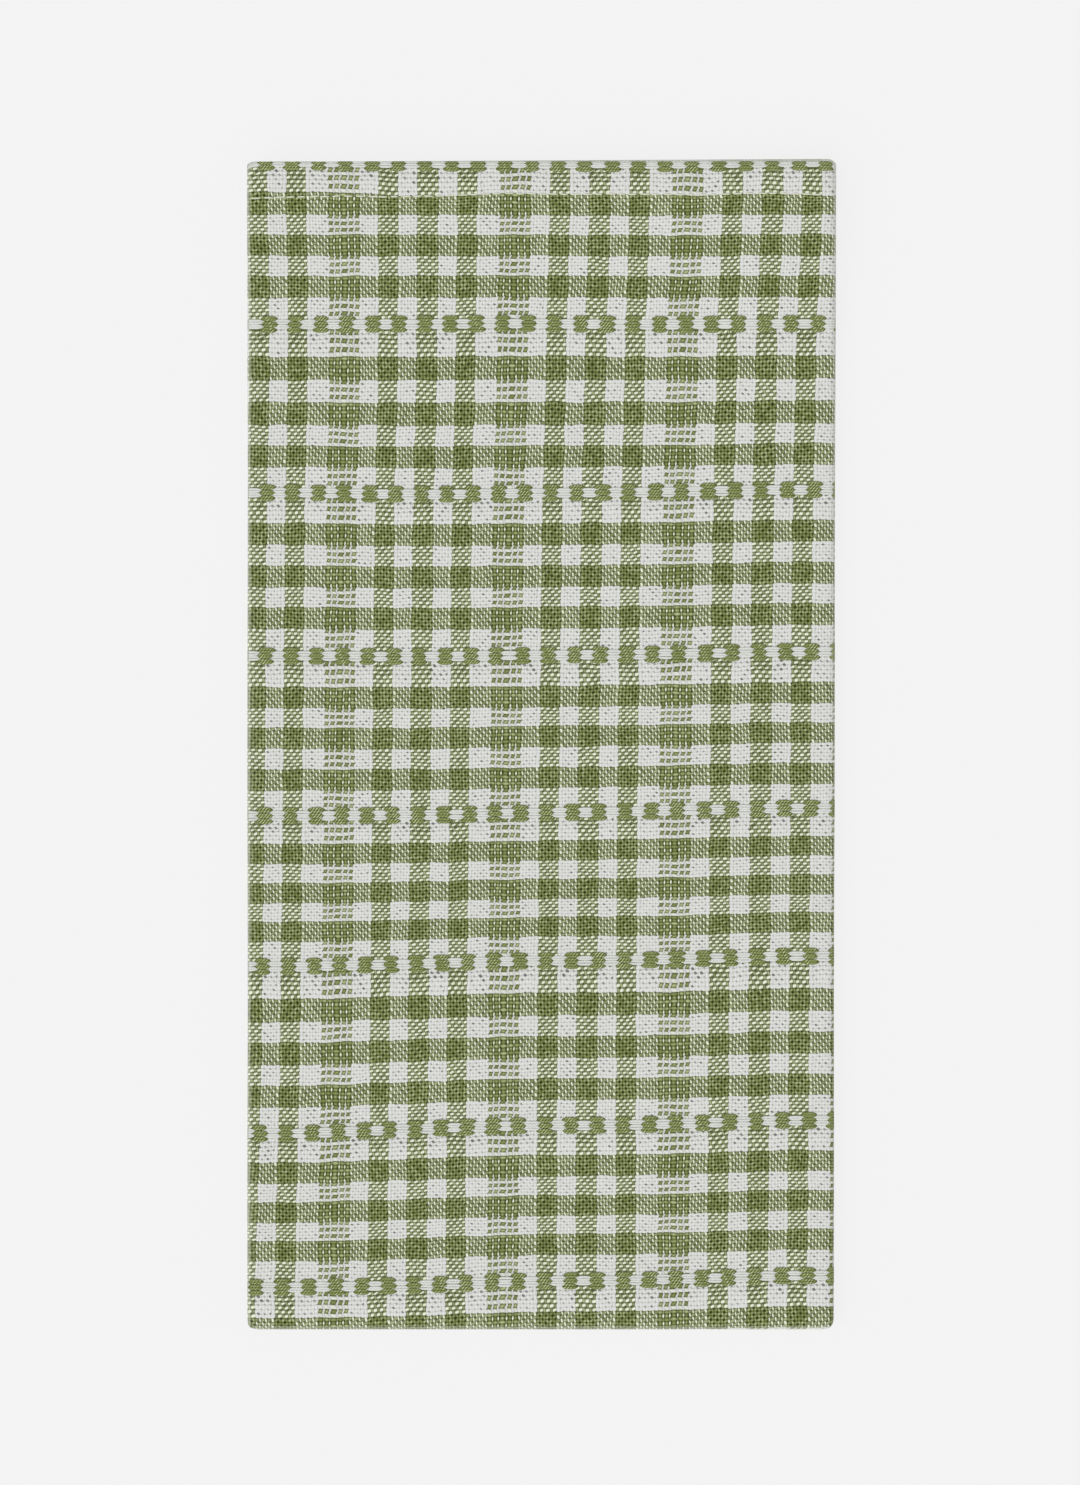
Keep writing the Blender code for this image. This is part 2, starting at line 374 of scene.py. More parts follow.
def place(column, row):
    """Where a point of the flat sheet lies in the folded towel, halfway through the cloth."""
    from_hem_end = STRAIGHT_LENGTH if row.section == "fold" else row.part
    pitch = layer_pitch(from_hem_end)
    thickness = cloth_thickness(from_hem_end)
    stack = (LAYERS - 1) * pitch
    x, height = place_column(column, pitch, thickness)
    y = FOLDED_LENGTH / 2.0 - from_hem_end
    lower_half = 1.0
    if row.section == "upper":
        height = stack - height
        lower_half = 0.0
    elif row.section == "fold":
        angle = math.pi * row.part
        radius = stack / 2.0 - height
        y -= radius * math.sin(angle)
        height = stack / 2.0 - radius * math.cos(angle)
        lower_half = 1.0 - row.part
    height *= 1.0 + swell_height(x, y) / STACK
    x, y = stray(x, y, lower_half)
    return Vector((x, y, thickness / 2.0 + height))


def columns():
    """Columns of the grid, from the first flap's free edge to the second's."""
    sections = (
        ("flap_one", FLAP_STEPS),
        ("turn_one", TURN_STEPS),
        ("panel", PANEL_STEPS),
        ("turn_two", TURN_STEPS),
        ("flap_two", FLAP_STEPS),
    )
    found = [Spot("flap_one", 0.0)]
    for section, steps in sections:
        found += [Spot(section, step / steps) for step in range(1, steps + 1)]
    return found


def rows():
    """Rows of the grid, from the lower hem, round the half fold, to the upper hem."""
    hem_end = HEM_DEPTH + HEM_STEP
    stretches = (
        (HEM_EDGE, HEM_EDGE_STEPS),
        (HEM_DEPTH, HEM_STEPS),
        (hem_end, HEM_END_STEPS),
        (hem_end + SPREAD_LENGTH, SPREAD_STEPS),
        (STRAIGHT_LENGTH, HALF_STEPS),
    )
    places = [0.0]
    for end, steps in stretches:
        start = places[-1]
        places += [start + (end - start) * step / steps for step in range(1, steps + 1)]
    lower = [Spot("lower", spot) for spot in places]
    fold = [Spot("fold", step / HALF_FOLD_STEPS) for step in range(1, HALF_FOLD_STEPS)]
    upper = [Spot("upper", spot) for spot in reversed(places)]
    return lower + fold + upper


# ---------------------------------------------------------------- reading the chart
def slope_at(places, values, index):
    """Slope of a charted curve at one of its points."""
    before = max(index - 1, 0)
    after = min(index + 1, len(places) - 1)
    return (values[after] - values[before]) / (places[after] - places[before])


def read_curve(places, values, at):
    """The smooth curve through charted values, in metres, at a place in metres."""
    place = min(max(at * 1000.0, places[0]), places[-1])
    index = 0
    while place > places[index + 1]:
        index += 1
    width = places[index + 1] - places[index]
    share = (place - places[index]) / width
    rest = 1.0 - share
    rise = values[index] * rest * rest * (1.0 + 2.0 * share)
    rise += values[index + 1] * share * share * (1.0 + 2.0 * rest)
    rise += slope_at(places, values, index) * width * share * rest * rest
    rise -= slope_at(places, values, index + 1) * width * share * share * rest
    return rise / 1000.0


def read_marks(marks, place):
    """Read a chart of (repeats, place) marks at a place, with places in rising order."""
    for before, after in zip(marks, marks[1:]):
        if place <= after[1]:
            break
    share = (place - before[1]) / (after[1] - before[1])
    return before[0] + share * (after[0] - before[0])


def stripe_marks(y):
    """Where stripe repeats lie across the cloth at a place along it."""
    places = [read_curve(STRIPE_HEIGHTS, stripe, y) for stripe in STRIPES]
    first = (STRIPE_NUMBERS[0] - STRIPES_BEYOND, places[0] - STRIPES_BEYOND * LEFT_REPEAT)
    last = (STRIPE_NUMBERS[-1] + STRIPES_BEYOND, places[-1] + STRIPES_BEYOND * RIGHT_REPEAT)
    return [first, *zip(STRIPE_NUMBERS, places), last]


def repeat_width(groups):
    """Width of some thread groups, in millimetres."""
    return sum(group.count * group.width for group in groups)


def from_band(number, part):
    """How far a part of a pick group lies from the band before it, as a share of the repeat."""
    away = repeat_width(PICK_GROUPS[:number]) - repeat_width(PICK_GROUPS[:1]) / 2.0
    away += part * repeat_width(PICK_GROUPS[number:number + 1])
    return away / repeat_width(PICK_GROUPS)


def band_marks(x):
    """Where band repeats lie along the cloth, away from the hem, at a place across it."""
    bands = [read_curve(BAND_PLACES, band, x) for band in FLOAT_BANDS]
    moved = [band - read_curve(BAND_PLACES, chart, 0.0)
             for band, chart in zip(bands, FLOAT_BANDS)]
    last = len(bands) - 1
    marks = [(-REPEATS_BEFORE, -bands[0] - REPEATS_BEFORE * BAND_REPEAT),
             (-HEM_TURN_REPEATS, -bands[0] - HEM_TURN_DEPTH)]
    for number, band in enumerate(bands):
        marks.append((number, -band))
        if number == 0:
            hem_row = from_band(GREEN_ROW_GROUPS[0], 0.0)
            marks.append((hem_row, -read_curve(HEM_PLACES, HEM_ROW, x)))
        if number < last:
            for group, row in zip(GREEN_ROW_GROUPS, GREEN_ROWS[number]):
                share = from_band(group, 0.5)
                shift = moved[number] + share * (moved[number + 1] - moved[number])
                marks.append((number + share, -row / 1000.0 - shift))
    marks.append((last + REPEATS_BEYOND, -bands[last] + REPEATS_BEYOND * BAND_REPEAT))
    return marks


# ---------------------------------------------------------------- the sheet
class Sheet:
    """The folded sheet as grids of places, before it is made into a mesh."""

    def __init__(self):
        self.columns = columns()
        self.rows = rows()
        points = [[place(column, row) for column in self.columns] for row in self.rows]
        across = [point.x for line in points for point in line]
        along = [point.y for line in points for point in line]
        self.shift = Vector((
            -(min(across) + max(across)) / 2.0, -(min(along) + max(along)) / 2.0, 0.0))
        self.points = [[point + self.shift for point in line] for line in points]
        self.threads = self.thread_places()

    def thread_places(self):
        """Stripe repeats and band repeats at every point of the grid."""
        across = [flat_across(column) + self.shift.x for column in self.columns]
        by_column = [band_marks(x) for x in across]
        found = []
        for row in self.rows:
            y = flat_along(row) + self.shift.y
            marks = stripe_marks(y)
            line = []
            for x, bands in zip(across, by_column):
                moved = stray(x, y, 0.0) if row.section == "upper" else (x, y)
                line.append((read_marks(marks, moved[0]), read_marks(bands, -moved[1])))
            found.append(line)
        return found

    def face_normal(self, r, c):
        """Direction out of the cloth's face, which is the outside of the folded towel."""
        line = self.points[r]
        across = line[min(c + 1, len(line) - 1)] - line[max(c - 1, 0)]
        above = self.points[min(r + 1, len(self.points) - 1)][c]
        return across.cross(above - self.points[max(r - 1, 0)][c]).normalized()


def skin_points(sheet):
    """Corners of the face and back skins, and of the rounded rim between them."""
    face = []
    back = []
    rim = {}
    for r, row in enumerate(sheet.rows):
        half = (THICKNESS if row.section == "fold" else cloth_thickness(row.part)) / 2.0
        for c, point in enumerate(sheet.points[r]):
            outward = sheet.face_normal(r, c) * half
            lifted = point + outward
            lifted.z = max(lifted.z, UNDERSIDE_LIFT)
            face.append(lifted)
            back.append(point - outward)
            inner_row = min(max(r, 1), len(sheet.rows) - 2)
            inner_column = min(max(c, 1), len(sheet.columns) - 2)
            if (inner_row, inner_column) != (r, c):
                inner = sheet.points[inner_row][inner_column]
                rim[(r, c)] = point + (point - inner).normalized() * half
    return face, back, rim


def border(last_row, last_column):
    """Grid places round the edge of the sheet, in order."""
    found = [(0, c) for c in range(last_column)]
    found += [(r, last_column) for r in range(last_row)]
    found += [(last_row, c) for c in range(last_column, 0, -1)]
    found += [(r, 0) for r in range(last_row, 0, -1)]
    return found


def sheet_mesh(sheet):
    """The sheet as a closed mesh. Also the grid place of each of its corners."""
    face, back, rim = skin_points(sheet)
    width = len(sheet.columns)
    skin = len(face)
    last_row = len(sheet.rows) - 1
    grid = [(r, c) for r in range(last_row + 1) for c in range(width)]
    rim_index = {spot: 2 * skin + number for number, spot in enumerate(rim)}
    faces = []
    for a, (r, c) in enumerate(grid):
        if r < last_row and c < width - 1:
            faces.append((a, a + 1, a + width + 1, a + width))
    faces += [tuple(skin + corner for corner in reversed(quad)) for quad in faces]
    edge = border(last_row, width - 1)
    for spot, following in zip(edge, edge[1:] + edge[:1]):
        a = spot[0] * width + spot[1]
        b = following[0] * width + following[1]
        faces.append((b, a, rim_index[spot], rim_index[following]))
        faces.append((rim_index[following], rim_index[spot], skin + a, skin + b))
    mesh = make_mesh("tea_towel", face + back + list(rim.values()), faces)
    return mesh, grid + grid + list(rim)


def make_mesh(name, corners, faces):
    """A smooth mesh of corners and faces."""
    mesh = bpy.data.meshes.new(name)
    mesh.from_pydata([tuple(corner) for corner in corners], [], faces)
    mesh.shade_smooth()
    return mesh


def add_places(mesh, name, places):
    """Give the corners of a mesh's faces their places in a weave, a yarn or a picture."""
    layer = mesh.uv_layers.new(name=name)
    for loop, spot in zip(layer.data, places):
        loop.uv = spot


def add_measure(mesh, name, values):
    """Give a mesh's points a number each."""
    mesh.attributes.new(name, "FLOAT", "POINT").data.foreach_set("value", values)


def sheen_nearness(point, row):
    """How much painted sheen a point gets near the hem's edge or a fold, from 0 to 1."""
    from_side = (FOLDED_WIDTH / 2.0 - abs(point.x)) / SHEEN_WIDTH
    from_half_fold = (FOLDED_LENGTH / 2.0 + point.y) / SHEEN_WIDTH
    near = max(SIDE_SHEEN * smoothstep(1.0 - from_side),
               HALF_FOLD_SHEEN * smoothstep(1.0 - from_half_fold))
    if row.section != "fold":
        near = max(near, min(RIM_SHEEN_END - row.part / RIM_SHEEN_WIDTH, 1.0))
    return near


# Parts of the picture that each part of the sheet is given when its looks are stored
WHOLE_PICTURE = (0.002, 0.998)
TOP_PART = (0.005, 0.575)
UNDERSIDE_PART = (0.585, 0.875)
BACK_PART = (0.885, 0.935)
HIDDEN_PART = (0.945, 0.990)
RIM_PARTS = ((0.994, 0.995), (0.997, 0.998))


def within(part, share):
    """A place in a part of the picture, by its share of the way."""
    return part[0] + (part[1] - part[0]) * share


def share_of(values, index, first=0, last=-1):
    """A value's share of the way from one of the values to another."""
    return (values[index] - values[first]) / (values[last] - values[first])


def picture_places(mesh, sheet, corner_places):
    """Lay the sheet out flat with most room for the two sides that show."""
    skin = len(sheet.rows) * len(sheet.columns)
    along = [-flat_along(row) for row in sheet.rows]
    across = [flat_across(column) for column in sheet.columns]
    middle = [row.section for row in sheet.rows].index("upper") - 1 - HALF_FOLD_STEPS // 2
    sections = [column.section for column in sheet.columns]
    first = sections.index("turn_one") - 1
    last = sections.index("flap_two") - 1
    places = []
    for polygon in mesh.polygons:
        spots = [corner_places[vertex] for vertex in polygon.vertices]
        in_face = max(polygon.vertices) < skin
        in_back = min(polygon.vertices) >= skin and max(polygon.vertices) < 2 * skin
        on_top = min(spots)[0] >= middle
        is_outer = in_face and first <= min(c for _, c in spots) < last
        for vertex, (r, c) in zip(polygon.vertices, spots):
            v = share_of(across, c)
            if is_outer:
                ends = (middle, -1) if on_top else (0, middle)
                u = share_of(along, r, *ends)
                v = within(TOP_PART if on_top else UNDERSIDE_PART,
                           share_of(across, c, first, last))
            elif in_face or in_back:
                u = share_of(along, r)
                v = within(BACK_PART if in_back else HIDDEN_PART, v)
            else:
                u = 0.5 * (share_of(along, r) + v)
                v = within(RIM_PARTS[vertex >= 2 * skin], v)
            places.append((within(WHOLE_PICTURE, u), v))
    return places


def make_sheet(sheet):
    """The sheet as a piece of the towel."""
    mesh, corner_places = sheet_mesh(sheet)
    spots = [corner_places[loop.vertex_index] for loop in mesh.loops]
    add_places(mesh, "threads", [sheet.threads[r][c] for r, c in spots])
    # Painted sheen: a pale tone for the places near the hem's edge and the folds
    add_measure(mesh, "rim", [
        sheen_nearness(vertex.co, sheet.rows[r])
        for vertex, (r, _) in zip(mesh.vertices, corner_places)])
    add_places(mesh, "OFBake", picture_places(mesh, sheet, corner_places))
    mesh.materials.append(woven_material())
    return add_object("tea_towel", mesh)


def add_object(name, data):
    """Put data into the scene as an object."""
    made = bpy.data.objects.new(name, data)
    bpy.context.scene.collection.objects.link(made)
    return made


# ---------------------------------------------------------------- threads of their own
# A strand's ends, width and height, how far its ends pull aside, how thin its tips are, how
# bluntly it bows, and how far it stands clear of the cloth
Strand = namedtuple("Strand", "start end width height pull tip bow rise")
Surface = namedtuple("Surface", "place outward press")


def across_place(repeats, y):
    """Where a number of stripe repeats lies across the towel."""
    return read_marks([(place, repeat) for repeat, place in stripe_marks(y)], repeats)


def along_place(bands, x):
    """Where a float band lies along the towel, by its number from the hem."""
    last = len(FLOAT_BANDS) - 1
    charted = read_curve(BAND_PLACES, FLOAT_BANDS[min(bands, last)], x)
    return charted - max(bands - last, 0) * BAND_REPEAT


def skin_radius(side):
    """Radius of the outer skin where the cloth turns at a long side."""
    return (PITCH * (FLAP_ONE_LAYER if side < 0.0 else FLAP_TWO_LAYER) + THICKNESS) / 2.0


def round_side(x):
    """Where a flat place near the long sides comes to lie across, and how far it curves down."""
    skin = skin_radius(x)
    beyond = abs(x) - (FOLDED_WIDTH / 2.0 - skin)
    if beyond <= 0.0:
        return x, 0.0
    angle = min(beyond / skin, math.pi / 2.0)
    curved = FOLDED_WIDTH / 2.0 - skin + skin * math.sin(angle)
    return math.copysign(curved, x), skin * (1.0 - math.cos(angle))


def flat_limit(side):
    """How far out a flat place can lie before it is on the edge of a long side."""
    return FOLDED_WIDTH / 2.0 + skin_radius(side) * (ROUND_SIDE * math.pi / 2.0 - 1.0)


def round_hem(y):
    """Where a flat place near the hem's fold comes to lie along the towel."""
    beyond = max(y - (HEM_BEND_END - HEM_BEND), 0.0)
    return y - beyond + HEM_BEND * math.sin(min(beyond / HEM_BEND, math.pi / 2.0))


def top_surface(sheet):
    """The towel's top, for threads that lie on it."""
    def place_on_top(x, y):
        flat = Vector((x, y, 0.0)) - sheet.shift
        strayed = stray(flat.x, flat.y, 0.0)
        flat_x = 2.0 * flat.x - strayed[0]
        flat_y = 2.0 * flat.y - strayed[1]
        from_hem_end = FOLDED_LENGTH / 2.0 - flat_y
        stack = (LAYERS - 1) * layer_pitch(from_hem_end)
        height = stack * (1.0 + swell_height(flat_x, flat_y) / STACK)
        curved, drop = round_side(flat_x)
        new_y = round_hem(y) + drawn_in(curved, flat_y)
        return Vector((
            x + curved - flat_x, new_y, cloth_thickness(from_hem_end) + height - drop))
    return Surface(place_on_top, 1.0, 1.0)


def underside_surface(sheet):
    """The towel's underside, for threads that lie between it and the floor."""
    def place_under(x, y):
        curved, rise = round_side(x - sheet.shift.x)
        flat_y = 2.0 * (HALF_FOLD_START + sheet.shift.y) - HALF_FOLD_LENGTH - y
        return Vector((curved + sheet.shift.x, flat_y, max(rise, UNDERSIDE_LIFT)))
    return Surface(place_under, -1.0, UNDERSIDE_PRESS)


def kept_shares(strand):
    """The shares of a strand's length where it meets the towel's sides, or its ends."""
    start_x = strand.start[0]
    length = strand.end[0] - start_x
    first = (-flat_limit(-1.0) - start_x) / length
    last = (flat_limit(1.0) - start_x) / length
    return max(0.0, first), min(1.0, last)


def strand_points(strand, surface):
    """Rings of points along a strand that floats on the cloth and dips in at its ends."""
    rings = []
    rise = strand.rise if surface.outward > 0.0 else 0.0
    first, last = kept_shares(strand)
    for step in range(STRAND_STEPS + 1):
        share = first + (last - first) * step / STRAND_STEPS
        x = strand.start[0] + (strand.end[0] - strand.start[0]) * share
        y = strand.start[1] + (strand.end[1] - strand.start[1]) * share
        bow = 1.0 - abs(2.0 * share - 1.0) ** strand.bow
        y -= strand.pull * (1.0 - bow)
        half = strand.width / 2.0 * (strand.tip + (1.0 - strand.tip) * bow ** STRAND_TAPER)
        thick = strand.height * surface.press * (STRAND_DIP + (1.0 - STRAND_DIP) * bow)
        ring = []
        for side in range(STRAND_SIDES + 1):
            angle = math.pi * side / STRAND_SIDES
            point = surface.place(x, y + half * math.cos(angle))
            lift = thick * math.sin(angle) + rise * bow - STRAND_SINK
            point.z += surface.outward * lift
            ring.append(point)
        rings.append(ring)
    return rings


def strand_mesh(name, strands, material):
    """A piece of many strands, each given with the surface that it lies on."""
    corners = []
    faces = []
    dips = []
    twist = []
    picture = []
    cells = math.ceil(math.sqrt(len(strands)))
    for number, (strand, surface) in enumerate(strands):
        first = len(corners)
        length = math.dist(strand.start, strand.end)
        for step, ring in enumerate(strand_points(strand, surface)):
            corners += ring
            dips += [abs(2.0 * step / STRAND_STEPS - 1.0)] * len(ring)
        for step in range(STRAND_STEPS):
            for side in range(STRAND_SIDES):
                quad = [(step, side), (step + 1, side), (step + 1, side + 1), (step, side + 1)]
                if surface.outward > 0.0:
                    quad.reverse()
                faces.append([first + s * (STRAND_SIDES + 1) + k for s, k in quad])
                for s, k in quad:
                    along = s / STRAND_STEPS
                    around = k / STRAND_SIDES
                    twist.append((number * TWIST_OFFSET + length * along * 1000.0, around))
                    picture.append((
                        (number % cells + within(CELL_PART, along)) / cells,
                        (number // cells + within(CELL_PART, around)) / cells))
    mesh = make_mesh(name, corners, faces)
    add_measure(mesh, "dip", dips)
    add_places(mesh, "twist", twist)
    add_places(mesh, "OFBake", picture)
    mesh.materials.append(material)
    return add_object(name, mesh)


def float_middles(band):
    """Middles of the green floats in a band, by their places across the towel."""
    y = along_place(band, 0.0)
    places = [across_place(FLOAT_OFFSET + number / FLOATS_PER_REPEAT, y)
              for number in FLOAT_NUMBERS]
    first = -FOLDED_WIDTH / 2.0 - BEFORE_LEFT
    last = FOLDED_WIDTH / 2.0 + BEYOND_RIGHT
    return [x for x in places if first < x < last]


def on_towel(strands, surface):
    """The strands that show between the towel's sides, clear of the hem, on their surface."""
    found = []
    for strand in strands:
        first, last = kept_shares(strand)
        shown = (last - first) * (strand.end[0] - strand.start[0])
        if shown > LEAST_SHOWN and (surface.outward < 0.0 or strand.start[1] < HEM_FOLD):
            found.append((strand, surface))
    return found


def green_floats(chance, band, surface):
    """Strands of the green picks where they float in a band."""
    strands = []
    for x in float_middles(band):
        size = chance.uniform(*GREEN_SIZES)
        for pick in (-1, 0, 1):
            length = GREEN_FLOAT_LENGTH * size * chance.uniform(*GREEN_LENGTHS)
            start_x = x - length / 2.0 + chance.uniform(-GREEN_SWAY, GREEN_SWAY)
            for side in (-1, 1):
                y = along_place(band, x) + pick * GREEN_PICK_PITCH
                y += side * GREEN_STRAND_PITCH / 2.0 + chance.uniform(-GREEN_STRAY, GREEN_STRAY)
                strands.append(Strand(
                    (start_x, y), (start_x + length, y), GREEN_STRAND_WIDTH, STRAND_HEIGHT,
                    pull=side * GREEN_STRAND_PITCH * GREEN_PULL, tip=GREEN_TIP,
                    bow=OUTER_BOW if pick * side > 0 else INNER_BOW, rise=FLOAT_RISE))
    return on_towel(strands, surface)


def white_floats(chance, band, surface):
    """Strands of the white picks where they float between the green ones."""
    strands = []
    middles = float_middles(band)
    middles = [middles[0] - FIRST_WHITE] + middles + [middles[-1] + LAST_WHITE]
    for left, right in zip(middles, middles[1:]):
        x = (left + right) / 2.0
        for pick in (-0.5, 0.5):
            half = WHITE_FLOAT_LENGTH * chance.uniform(*WHITE_LENGTHS) / 2.0
            for side in (-1, 1):
                y = along_place(band, x) + pick * WHITE_PICK_PITCH
                y += side * WHITE_STRAND_PITCH / 2.0 + chance.uniform(-WHITE_STRAY, WHITE_STRAY)
                strands.append(Strand(
                    (x - half, y), (x + half, y), WHITE_STRAND_WIDTH, WHITE_STRAND_HEIGHT,
                    pull=side * WHITE_STRAND_PITCH * WHITE_PULL, tip=WHITE_TIP,
                    bow=WHITE_BOW, rise=0.0))
    return on_towel(strands, surface)


def lies_on(band, surface):
    """Whether a band lies on the top or on the underside, clear of the fold and the hem."""
    y = surface.place(0.0, along_place(band, 0.0)).y
    return HALF_FOLD_START + CLEAR_OF_FOLD < y < FOLDED_LENGTH / 2.0 - CLEAR_OF_HEM


def make_floats(top, underside):
    """The float bands of both sides, as a green piece and a white one."""
    chance = random.Random(FLOAT_SEED)
    green = []
    white = []
    charted = len(FLOAT_BANDS)
    for surface, bands in ((top, range(charted)), (underside, range(charted, 2 * charted))):
        for band in bands:
            if lies_on(band, surface):
                green += green_floats(chance, band, surface)
                white += white_floats(chance, band, surface)
    green_yarn = yarn_material("green_yarn", GREEN_YARN, GREEN_TWIST)
    white_yarn = yarn_material("white_yarn", WHITE_YARN, WHITE_TWIST)
    return (strand_mesh("green_floats", green, green_yarn),
            strand_mesh("white_floats", white, white_yarn))


def make_stitches(top, underside):
    """The stitches that hold the hem, on both sides."""
    chance = random.Random(STITCH_SEED)
    strands = []
    for surface in (top, underside):
        x = -FOLDED_WIDTH / 2.0 + STITCH_MARGIN
        while x < FOLDED_WIDTH / 2.0 - STITCH_LENGTH - STITCH_MARGIN:
            length = STITCH_LENGTH * chance.uniform(*STITCH_LENGTHS)
            ends = []
            for end_x in (x, x + length):
                y = read_curve(HEM_PLACES, STITCHES, end_x)
                y += chance.uniform(-STITCH_STRAY, STITCH_STRAY)
                if surface is underside:
                    y = 2.0 * HALF_FOLD_START - HALF_FOLD_LENGTH - y
                ends.append((end_x, y))
            strands.append((Strand(
                *ends, STITCH_WIDTH, STITCH_HEIGHT, pull=0.0, tip=STITCH_TIP,
                bow=STITCH_BOW, rise=FLOAT_RISE), surface))
            x += STITCH_PITCH * chance.uniform(*STITCH_PITCHES)
    return strand_mesh("hem_stitches", strands, sewing_material())


# ---------------------------------------------------------------- node materials
class Value:
    """What a node of a material gives, with the signs of arithmetic."""

    def __init__(self, graph, socket):
        self.graph = graph
        self.socket = socket

    def __add__(self, other):
        return self.graph.sum("ADD", self, other)

    def __sub__(self, other):
        return self.graph.sum("SUBTRACT", self, other)

    def __rsub__(self, other):
        return self.graph.sum("SUBTRACT", other, self)

    def __mul__(self, other):
        return self.graph.sum("MULTIPLY", self, other)


class Graph:
    """Short calls that add the nodes of a material and join them up."""

    def __init__(self, name):
        self.material = bpy.data.materials.new(name)
        self.material.use_nodes = True
        self.tree = self.material.node_tree
        self.shader = self.tree.nodes["Principled BSDF"]

    def put(self, socket, value):
        """Join a socket to what a node gives, or set its value."""
        if isinstance(value, Value):
            self.tree.links.new(value.socket, socket)
        else:
            socket.default_value = value

    def finish(self, **values):
        """Set the shader's own sockets, by their names with the spaces underlined."""
        for name, value in values.items():
            self.put(self.shader.inputs[name.replace("_", " ")], value)

    def node(self, kind, inputs=(), output=0, **settings):
        """What a new node gives, with its settings and with values for some of its inputs."""
        node = self.tree.nodes.new("ShaderNode" + kind)
        for name, value in settings.items():
            setattr(node, name, value)
        for key, value in inputs:
            self.put(node.inputs[key], value)
        return Value(self, node.outputs[output])

    def sum(self, operation, *values):
        """A step of arithmetic."""
        return self.node("Math", enumerate(values), operation=operation)

    def floor(self, value):
        return self.sum("FLOOR", value)

    def larger(self, a, b):
        return self.sum("MAXIMUM", a, b)

    def is_odd(self, value):
        """1 for an odd whole number, and 0 for an even one."""
        return self.sum("FLOORED_MODULO", value, 2.0)

    def ramp(self, value, low, high, kind="LINEAR"):
        """Go from 0 to 1 as value goes from low to high, and stay there."""
        return self.node(
            "MapRange", enumerate((value, low, high, 0.0, 1.0)), interpolation_type=kind)

    def mix(self, share, a, b):
        """A number from a to b."""
        return self.node("Mix", ((0, share), (2, a), (3, b)), data_type="FLOAT")

    def mix_colour(self, share, a, b):
        """A colour from a to b."""
        return self.node("Mix", ((0, share), (6, a), (7, b)), output=2, data_type="RGBA")

    def stops(self, value, stops, interpolation="LINEAR"):
        """A colour ramp through charted stops of (place, colour)."""
        made = self.node("ValToRGB", ((0, value),))
        ramp = made.socket.node.color_ramp
        ramp.interpolation = interpolation
        while len(ramp.elements) > 1:
            ramp.elements.remove(ramp.elements[0])
        ramp.elements[0].position, ramp.elements[0].color = stops[0]
        for position, colour in stops[1:]:
            ramp.elements.new(position).color = colour
        return made

    def parts(self, vector):
        """The three parts of a vector or a colour."""
        return [self.node("SeparateXYZ", ((0, vector),), output=part) for part in range(3)]

    def vector(self, x, y, z=0.0):
        """A vector from its parts."""
        return self.node("CombineXYZ", enumerate((x, y, z)))

    def noise(self, vector, scale, detail=0.0):
        """Soft noise around 0."""
        inputs = (("Vector", vector), ("Scale", scale), ("Detail", detail))
        return self.node("TexNoise", inputs) - 0.5

    def chance(self, vector):
        """A number from 0 to 1 that differs from cell to cell."""
        return self.node("TexWhiteNoise", (("Vector", vector),), noise_dimensions="3D")

    def attribute(self, name):
        """A number that the mesh gives its points."""
        return self.node("Attribute", output="Fac", attribute_name=name)

    def places(self, name):
        """The two parts of a place that the mesh gives."""
        return self.parts(self.node("UVMap", uv_map=name))[:2]

    def relief(self, height, strength, distance):
        """Let a height show as fine relief."""
        inputs = (("Strength", strength), ("Distance", distance), ("Height", height))
        self.finish(Normal=self.node("Bump", inputs))

    def cloth(self, base):
        """Matt cotton, with a faint bloom of loose fibres."""
        self.finish(Base_Color=base, Roughness=0.92, Specular_IOR_Level=0.15,
                    Sheen_Weight=0.08, Sheen_Roughness=0.6)


def colour(red, green, blue):
    """A colour as seen on a screen, from 0 to 255, as the light it stands for."""
    found = []
    for value in (red, green, blue):
        share = value / 255.0
        found.append(share / 12.92 if share <= 0.04045 else ((share + 0.055) / 1.055) ** 2.4)
    return (found[0], found[1], found[2], 1.0)


def tones(*stops):
    """Stops of a colour ramp, from their places and their colours as seen on a screen."""
    return [(place, colour(*seen)) for place, *seen in stops]


def group_ends(groups):
    """For each boundary between thread groups: threads so far, and share of the repeat."""
    threads = [sum(group.count for group in groups[:end]) for end in range(len(groups) + 1)]
    places = [repeat_width(groups[:end]) / repeat_width(groups)
              for end in range(len(groups) + 1)]
    return threads, places


def thread_number(graph, repeats, groups):
    """Number of the thread at a place, counted on from the first repeat."""
    threads, places = group_ends(groups)
    whole = graph.floor(repeats)
    stops = [(spot, (number / threads[-1],) * 3 + (1.0,))
             for number, spot in zip(threads, places)]
    within_repeat = graph.parts(graph.stops(repeats - whole, stops))[0]
    return (whole + within_repeat) * float(threads[-1])


def thread_kind(graph, number, groups, first_threads):
    """Whether a thread is white, is doubled, and is one of the first of its repeat."""
    threads = group_ends(groups)[0]
    count = threads[-1]
    stops = []
    for start, group in zip(threads, groups):
        is_first = float(start < first_threads)
        stops.append((start / count, (group.colour, float(group.doubled), is_first, 1.0)))
    within_repeat = graph.sum("FLOORED_MODULO", number, float(count))
    return graph.parts(graph.stops((within_repeat + 0.5) * (1.0 / count), stops, "CONSTANT"))
